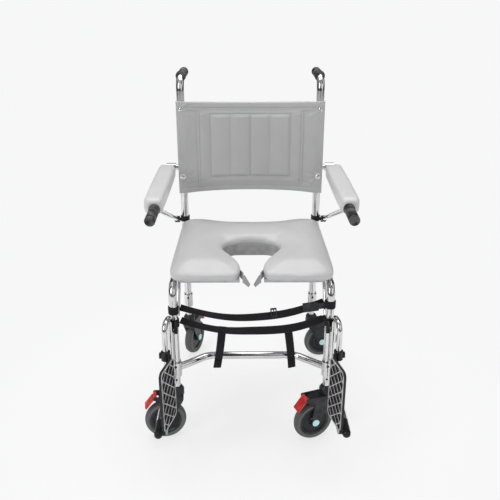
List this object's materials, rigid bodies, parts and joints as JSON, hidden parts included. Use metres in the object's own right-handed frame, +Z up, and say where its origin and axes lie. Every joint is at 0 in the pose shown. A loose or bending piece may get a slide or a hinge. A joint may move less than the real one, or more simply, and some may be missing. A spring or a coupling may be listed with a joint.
{
  "type": "commode chair",
  "caption": "Mobile commode chair with horseshoe seat, sling back, flip-up arms, swing-away folding footrests and braked swivel casters.",
  "frame": {"origin": "on the floor, midway between the two side frames, under the middle of the seat", "axes": "+Z up, the front of the chair faces -Y, +X is the left-hand side of a person seated in it; node names use left for -X and right for +X, as seen from in front"},
  "size_m": [0.6485, 0.8076, 1.0327],
  "materials": {
    "chrome": "bright chromed steel tube",
    "grey_vinyl": "mid grey coated vinyl, satin",
    "seat_foam": "light grey skinned foam, satin",
    "pad_foam": "pale grey skinned foam, satin",
    "grey_plastic": "moulded grey plastic",
    "grip_rubber": "ribbed black rubber",
    "webbing": "woven black webbing",
    "red_plastic": "ribbed red plastic",
    "tyre": "grey black rubber tread",
    "dark_plastic": "dark grey moulded plastic",
    "cap_blue": "pale blue hub cap",
    "black_plastic": "black moulded plastic"
  },
  "bodies": {
    "frame": {"left_side_frame": "chrome", "right_side_frame": "chrome", "cross_tubes": "chrome", "leg_collars": "chrome", "leg_lock_buttons": "black_plastic", "push_grips": "grip_rubber", "back_sling": "grey_vinyl", "back_screws": "chrome", "seat_cushion": "seat_foam", "seat_board": "grey_plastic", "splash_guard": "grey_plastic", "seat_clips": "black_plastic", "pan_rails": "chrome", "calf_straps": "webbing", "strap_hardware": "black_plastic", "arm_stops": "black_plastic"},
    "front_left_leg_body": {"front_left_leg": "chrome"},
    "front_left_caster": {"front_left_fork": "dark_plastic", "front_left_axle": "cap_blue"},
    "front_left_pedal_body": {"front_left_pedal": "red_plastic"},
    "front_left_wheel": {"front_left_hub": "dark_plastic", "front_left_tyre": "tyre"},
    "front_right_leg_body": {"front_right_leg": "chrome"},
    "front_right_caster": {"front_right_fork": "dark_plastic", "front_right_axle": "cap_blue"},
    "front_right_pedal_body": {"front_right_pedal": "red_plastic"},
    "front_right_wheel": {"front_right_hub": "dark_plastic", "front_right_tyre": "tyre"},
    "rear_left_leg_body": {"rear_left_leg": "chrome"},
    "rear_left_caster": {"rear_left_fork": "dark_plastic", "rear_left_axle": "cap_blue"},
    "rear_left_pedal_body": {"rear_left_pedal": "red_plastic"},
    "rear_left_wheel": {"rear_left_hub": "dark_plastic", "rear_left_tyre": "tyre"},
    "rear_right_leg_body": {"rear_right_leg": "chrome"},
    "rear_right_caster": {"rear_right_fork": "dark_plastic", "rear_right_axle": "cap_blue"},
    "rear_right_pedal_body": {"rear_right_pedal": "red_plastic"},
    "rear_right_wheel": {"rear_right_hub": "dark_plastic", "rear_right_tyre": "tyre"},
    "left_arm": {"left_arm_tube": "chrome", "left_arm_pad": "pad_foam", "left_arm_grip": "grip_rubber", "left_arm_end_cap": "black_plastic"},
    "left_hanger_body": {"left_hanger": "chrome", "left_hanger_clamp": "black_plastic"},
    "left_latch": {"left_hanger_latch": "black_plastic"},
    "left_stem": {"left_footrest_stem": "chrome", "left_pivot_cap": "black_plastic"},
    "left_plate": {"left_footplate": "black_plastic"},
    "right_arm": {"right_arm_tube": "chrome", "right_arm_pad": "pad_foam", "right_arm_grip": "grip_rubber", "right_arm_end_cap": "black_plastic"},
    "right_hanger_body": {"right_hanger": "chrome", "right_hanger_clamp": "black_plastic"},
    "right_latch": {"right_hanger_latch": "black_plastic"},
    "right_stem": {"right_footrest_stem": "chrome", "right_pivot_cap": "black_plastic"},
    "right_plate": {"right_footplate": "black_plastic"}
  },
  "joints": [
    {"name": "front_left_leg_height", "type": "slide", "parent": "frame", "child": "front_left_leg_body", "axis": [0, 0, -1], "range_m": [-0.0125, 0.075]},
    {"name": "front_left_swivel", "type": "hinge", "parent": "front_left_leg_body", "child": "front_left_caster", "pos_m": [-0.223, -0.215, 0.16], "axis": [0, 0, 1], "continuous": true},
    {"name": "front_left_wheel_spin", "type": "hinge", "parent": "front_left_caster", "child": "front_left_wheel", "pos_m": [-0.26261, -0.22057, 0.0625], "axis": [-0.1392, 0.9903, 0], "continuous": true},
    {"name": "front_left_brake_pedal", "type": "hinge", "parent": "front_left_caster", "child": "front_left_pedal_body", "pos_m": [-0.29034, -0.22446, 0.147], "axis": [0.1392, -0.9903, 0], "range_deg": [0, 8], "stiffness_Nm_per_rad": 0.5},
    {"name": "front_right_leg_height", "type": "slide", "parent": "frame", "child": "front_right_leg_body", "axis": [0, 0, -1], "range_m": [-0.0125, 0.075]},
    {"name": "front_right_swivel", "type": "hinge", "parent": "front_right_leg_body", "child": "front_right_caster", "pos_m": [0.223, -0.215, 0.16], "axis": [0, 0, 1], "continuous": true},
    {"name": "front_right_wheel_spin", "type": "hinge", "parent": "front_right_caster", "child": "front_right_wheel", "pos_m": [0.18591, -0.22998, 0.0625], "axis": [-0.3746, 0.9272, 0], "continuous": true},
    {"name": "front_right_brake_pedal", "type": "hinge", "parent": "front_right_caster", "child": "front_right_pedal_body", "pos_m": [0.15995, -0.24047, 0.147], "axis": [0.3746, -0.9272, 0], "range_deg": [0, 8], "stiffness_Nm_per_rad": 0.5},
    {"name": "rear_left_leg_height", "type": "slide", "parent": "frame", "child": "rear_left_leg_body", "axis": [0, 0, -1], "range_m": [-0.0125, 0.075]},
    {"name": "rear_left_swivel", "type": "hinge", "parent": "rear_left_leg_body", "child": "rear_left_caster", "pos_m": [-0.223, 0.234, 0.16], "axis": [0, 0, 1], "continuous": true},
    {"name": "rear_left_wheel_spin", "type": "hinge", "parent": "rear_left_caster", "child": "rear_left_wheel", "pos_m": [-0.20932, 0.27159, 0.0625], "axis": [0.9397, -0.342, 0], "continuous": true},
    {"name": "rear_left_brake_pedal", "type": "hinge", "parent": "rear_left_caster", "child": "rear_left_pedal_body", "pos_m": [-0.19974, 0.2979, 0.147], "axis": [-0.9397, 0.342, 0], "range_deg": [0, 8], "stiffness_Nm_per_rad": 0.5},
    {"name": "rear_right_leg_height", "type": "slide", "parent": "frame", "child": "rear_right_leg_body", "axis": [0, 0, -1], "range_m": [-0.0125, 0.075]},
    {"name": "rear_right_swivel", "type": "hinge", "parent": "rear_right_leg_body", "child": "rear_right_caster", "pos_m": [0.223, 0.234, 0.16], "axis": [0, 0, 1], "continuous": true},
    {"name": "rear_right_wheel_spin", "type": "hinge", "parent": "rear_right_caster", "child": "rear_right_wheel", "pos_m": [0.2622, 0.24197, 0.0625], "axis": [0.1994, -0.9799, 0], "continuous": true},
    {"name": "rear_right_brake_pedal", "type": "hinge", "parent": "rear_right_caster", "child": "rear_right_pedal_body", "pos_m": [0.28963, 0.24756, 0.147], "axis": [-0.1994, 0.9799, 0], "range_deg": [0, 8], "stiffness_Nm_per_rad": 0.5},
    {"name": "left_arm_flip", "type": "hinge", "parent": "frame", "child": "left_arm", "pos_m": [-0.262, 0.234, 0.727], "axis": [-1, 0, 0], "range_deg": [0, 90]},
    {"name": "left_footrest_swing", "type": "hinge", "parent": "frame", "child": "left_hanger_body", "pos_m": [-0.231, -0.243, 0.4], "axis": [0, 0, -1], "range_deg": [0, 45]},
    {"name": "left_latch_press", "type": "hinge", "parent": "left_hanger_body", "child": "left_latch", "pos_m": [-0.215, -0.243, 0.38], "axis": [0, 1, 0], "range_deg": [0, 12], "stiffness_Nm_per_rad": 0.3},
    {"name": "left_footrest_height", "type": "slide", "parent": "left_hanger_body", "child": "left_stem", "axis": [0, 0, -1], "range_m": [-0.035, 0.02]},
    {"name": "left_footplate_fold", "type": "hinge", "parent": "left_stem", "child": "left_plate", "pos_m": [-0.258, -0.38, 0.147], "axis": [0, 1, 0], "range_deg": [0, 90]},
    {"name": "right_arm_flip", "type": "hinge", "parent": "frame", "child": "right_arm", "pos_m": [0.262, 0.234, 0.727], "axis": [-1, 0, 0], "range_deg": [0, 90]},
    {"name": "right_footrest_swing", "type": "hinge", "parent": "frame", "child": "right_hanger_body", "pos_m": [0.231, -0.243, 0.4], "axis": [0, 0, 1], "range_deg": [0, 45]},
    {"name": "right_latch_press", "type": "hinge", "parent": "right_hanger_body", "child": "right_latch", "pos_m": [0.215, -0.243, 0.38], "axis": [0, -1, 0], "range_deg": [0, 12], "stiffness_Nm_per_rad": 0.3},
    {"name": "right_footrest_height", "type": "slide", "parent": "right_hanger_body", "child": "right_stem", "axis": [0, 0, -1], "range_m": [-0.035, 0.02]},
    {"name": "right_footplate_fold", "type": "hinge", "parent": "right_stem", "child": "right_plate", "pos_m": [0.258, -0.38, 0.147], "axis": [0, -1, 0], "range_deg": [0, 90]}
  ]
}
